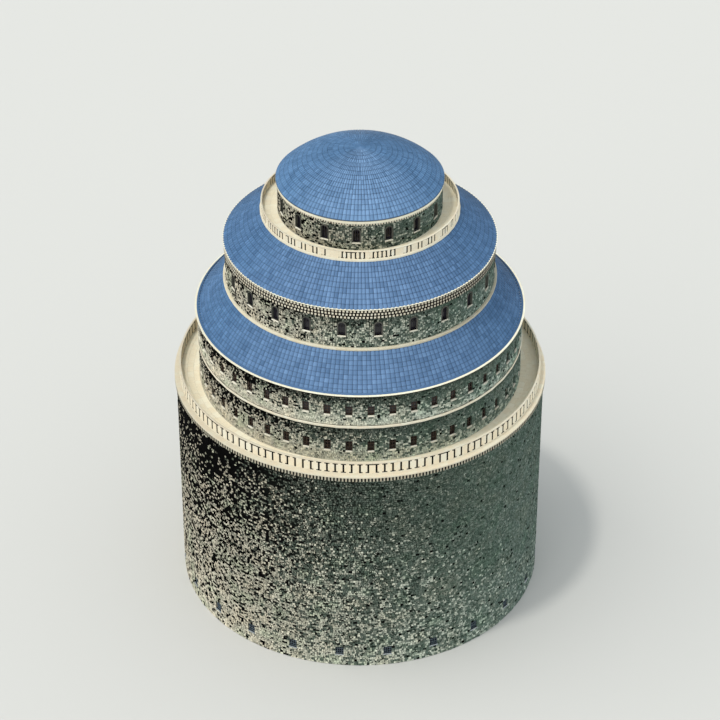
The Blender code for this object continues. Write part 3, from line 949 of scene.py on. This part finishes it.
def tiled(name, points, counts, finish, seed):
    """Rings of tiles between (radius, height) points up the outer face. Counts are like DOME_COUNTS."""
    rng = random.Random(seed)
    blocks = []
    places = []
    for number, ((foot_r, foot_z), (head_r, head_z)) in enumerate(zip(points, points[1:])):
        count = next(count for least, count in counts if foot_r >= least)
        slope = math.atan2(head_z - foot_z, foot_r - head_r)
        pitch = math.hypot(head_z - foot_z, foot_r - head_r)
        length = pitch + TILE_LAP
        top_r = head_r - (foot_r - head_r) * TILE_LAP / pitch
        wide = math.tau * foot_r / count - TILE_JOINT
        narrow = max(math.tau * top_r / count - TILE_JOINT, 0.02)
        rise = min(TILE_BOW, wide * 0.16)
        blocks.append(tile(wide, narrow, length, rise))
        tilt = slope - math.atan2(TILE_THICKNESS, pitch)
        sunk = TILE_THICKNESS + rise
        out = (foot_r + top_r) / 2 - math.sin(slope) * sunk
        up = foot_z + (head_z - foot_z) * length / 2 / pitch - math.cos(slope) * sunk
        for step in range(count):
            angle = math.tau * step / count
            spot = (out * math.sin(angle), -out * math.cos(angle), up)
            turn = (tilt + rng.gauss(0, 0.007), rng.gauss(0, 0.016), angle)
            places.append((spot, turn, (1, 1, 1), number, drawn(TILE_TINTS, rng)))
    lay(name, blocks, places, finish)


def roofs(blue):
    edge = reach("eaves_slab")[2]
    foot = (reach("lower_roof")[0], edge)
    head = (reach("tier_three_floor")[0], reach("lower_roof")[2])
    ring_roof("lower_roof", foot, head, 210, blue, 61)
    starter = [(foot[0] - 0.06, edge + 0.02), (foot[0] + 0.11, edge + 0.017),
               (foot[0] + 0.11, edge + 0.03), (foot[0] - 0.06, edge + 0.10)]
    turned("lower_roof_starter_course", starter, blue)
    foot = (reach("upper_roof")[0], reach("tier_three_cornice")[2])
    head = (reach("balcony_slab")[0], reach("upper_roof")[2])
    ring_roof("upper_roof", foot, head, 208, blue, 62)


def ring_roof(node, foot, head, count, blue, seed):
    """The tiles of a ring roof and the boarding under them, which stand for its solid."""
    slope = math.atan2(head[1] - foot[1], foot[0] - head[0])
    inwards = Vector((-math.sin(slope), -math.cos(slope)))
    low, high = Vector(foot) + inwards * BOARDING_DROP, Vector(head) + inwards * BOARDING_DROP
    thick = inwards * BOARDING_DEPTH
    inside = [(p.x, p.y) for p in (low, high, high + thick, low + thick)]
    inside[3] = (inside[3][0], inside[0][1])
    turned(node + "_boarding", inside, UNDER_TILE, (node,))
    points = [(foot[0] + (head[0] - foot[0]) * i / ROOF_ROWS, foot[1] + (head[1] - foot[1]) * i / ROOF_ROWS)
              for i in range(ROOF_ROWS + 1)]
    tiled(node + "_tiles", points, [(0.0, count)], blue, seed)


def dome(blue):
    """The dome's tiles, which follow a part of a sphere, the boarding under them and a cap at the top."""
    rim_r, _, apex = reach("dome")
    rise = apex - DOME_RIM
    radius = (rim_r ** 2 + rise ** 2) / (2 * rise)
    centre = apex - radius
    edge_angle = math.asin(rim_r / radius)
    angles = [edge_angle * (1 - i / DOME_ROWS) for i in range(DOME_ROWS + 1)]
    points = [(radius * math.sin(a), centre + radius * math.cos(a)) for a in angles]
    tiled("dome_tiles", points[:-1], DOME_COUNTS, blue, 63)
    inner = radius - BOARDING_DROP
    foot_angle = math.asin((rim_r - 0.04) / inner)
    profile = [(inner * math.sin(foot_angle * i / 12), centre + inner * math.cos(foot_angle * i / 12))
               for i in range(13)]
    # Round the rim, in over the cornice below and back to the axis under the shell
    top = reach("tier_four_cornice")[2]
    rim_low = DOME_RIM - 0.035
    profile += [(rim_r - 0.03, rim_low), (rim_r - 0.17, rim_low), (rim_r - 0.17, top)]
    profile += [(5.0, top), (5.0, top + 0.2), (0.0, apex - 0.6)]
    turned("dome_boarding", profile, UNDER_TILE, ("dome",), closed=False)
    cap = bmesh.new()
    wide, thick = points[-2][0] + 0.05, 0.05
    bmesh.ops.create_uvsphere(cap, u_segments=48, v_segments=12, radius=1.0)
    bmesh.ops.scale(cap, vec=(wide, wide, thick), verts=cap.verts)
    bmesh.ops.translate(cap, vec=(0, 0, apex - thick), verts=cap.verts)
    mesh = mesh_of("dome_cap", cap)
    mesh.shade_smooth()
    new_piece("dome_cap", mesh, blue)


# Stage, light and camera


def stage_floor():
    floor = bmesh.new()
    bmesh.ops.create_circle(floor, cap_ends=True, segments=96, radius=900.0)
    mesh = mesh_of("studio_floor", floor)
    made, tree, _ = new_finish("pale_studio_floor", 0.9, 0.1)
    feed(tree, tree.nodes["Principled BSDF"], {"Base Color": linear("#bcbcb9")})
    mesh.materials.append(made)
    piece = in_scene("studio_floor", mesh)
    piece.location.z = -0.002


def sun_lamp(name, azimuth, height, angle, energy, colour):
    sun = bpy.data.lights.new(name, "SUN")
    sun.energy = energy
    sun.angle = math.radians(angle)
    sun.color = colour
    lamp = in_scene(name, sun)
    turn, rise = math.radians(azimuth), math.radians(height)
    towards = Vector((math.sin(turn) * math.cos(rise), -math.cos(turn) * math.cos(rise), math.sin(rise)))
    lamp.rotation_mode = "QUATERNION"
    lamp.rotation_quaternion = towards.to_track_quat("Z", "Y")


def studio_light():
    """A high key light, a wide soft light low at the left, and an even sky."""
    sun_lamp("key_light", azimuth=-54.0, height=71.0, angle=5.0, energy=1.08, colour=(1.0, 0.97, 0.91))
    sun_lamp("soft_light", azimuth=-72.0, height=28.0, angle=90.0, energy=1.9, colour=(1.0, 0.965, 0.90))
    world = bpy.data.worlds.new("studio_sky")
    bpy.context.scene.world = world
    world.use_nodes = True
    sky = world.node_tree.nodes["Background"]
    sky.inputs["Color"].default_value = (0.95, 1.0, 1.03, 1.0)
    sky.inputs["Strength"].default_value = 1.0


def photo_camera():
    """The photograph's view: 35 degrees above the horizon, 15 degrees across."""
    camera = bpy.data.cameras.new("camera")
    camera.sensor_width = 36.0
    camera.lens = camera.sensor_width / 2 / math.tan(math.radians(15.0) / 2)
    camera.clip_start = 1.0
    camera.clip_end = 2000.0
    seen = in_scene("camera", camera)
    distance, height, elevation = 209.09, 18.586, math.radians(35.0)
    seen.location = (0.0, -distance * math.cos(elevation), height + distance * math.sin(elevation))
    seen.rotation_euler = (math.pi / 2 - elevation, 0.0, 0.0)
    bpy.context.scene.camera = seen


LAY = laying_group()
MORTAR = raked_mortar()
# The boarding is painted dark, as the shade under the tiles that shows through their joints
UNDER_TILE = painted_bar("slate_blue_roof_boarding", "#121e2e", "#1d2f47", 120, 0.7)
CREAM = dressed_limestone("sawn_cream_limestone", "#d9d5c3", "#d9ceb7")
PANEL = dressed_limestone("panel_limestone", "#e0dac6", "#e0d2b6")
COPING = dressed_limestone("worn_coping_limestone", "#cac5b2", "#c9bda6")
SHADOW_RECESS = painted_shadow_recess()
BAND = dressed_limestone("bright_cream_limestone", "#e2e1ce", "#e2dac2")
PAVING = dressed_limestone("worn_limestone_paving", "#e4dec8", "#e0d5ba", None, (0.95, 1.0, 1.1))

for name, node in frame["nodes"].items():
    plain = MORTAR if "wall" in name or "drum" in name else CREAM
    node.data.materials.clear()
    node.data.materials.append(plain)
gallery_r = reach("gallery_slab")[0]
# The slab is painted black behind and below its edge, as the shadow in the dentil band
frame["nodes"]["gallery_slab"].data.materials[0] = dressed_limestone(
    "gallery_limestone", "#cec9b6", "#cdc1a8", (gallery_r - 0.05, GALLERY_BAND_TOP - 0.005))
foot_band = dressed_limestone("tier_three_band_limestone", "#d6d2c0", "#d2c6a8", None, (0.72, 0.95, 0.92))
frame["nodes"]["tier_three_floor"].data.materials[0] = foot_band
eaves_r, _, eaves_top = reach("eaves_slab")
# The slab is painted black on the lower part of its edge, as shadow under the eaves blocks
frame["nodes"]["eaves_slab"].data.materials[0] = dressed_limestone(
    "eaves_limestone", "#d8d3bf", "#d6cab0", (eaves_r + 0.01, eaves_top - 0.06))

rubble_walls()
all_windows()
ledges(foot_band)
balustrade("gallery_balustrade", 144, width=0.14, plinth=0.10, coping=0.10, slit=0.14,
           groove=(0.12, 0.095), joined=0, lengths=48)
balustrade("balcony_balustrade", 144, width=0.12, plinth=0.06, coping=0.06, slit=0.105,
           groove=(0.05, 0.075), joined=2, lengths=36)
flags("gallery_flags", "gallery_slab", (
    (12.27, 12.73, 108), (12.73, 13.19, 112), (13.19, 13.64, 116)), PAVING)
flags("gallery_edge_flags", "gallery_slab", ((13.82, 14.175, 144),), COPING)
flags("balcony_flags", "balcony_slab", ((6.09, 6.62, 60), (6.62, 7.17, 64)), PAVING)
roofs(glazed_tile("blue_glazed_tile", "#405d7f", "#56779d"))
dome(glazed_tile("dome_blue_glazed_tile", "#466587", "#5d80a6"))
stage_floor()
studio_light()
photo_camera()
bpy.context.scene.view_settings.view_transform = "Standard"
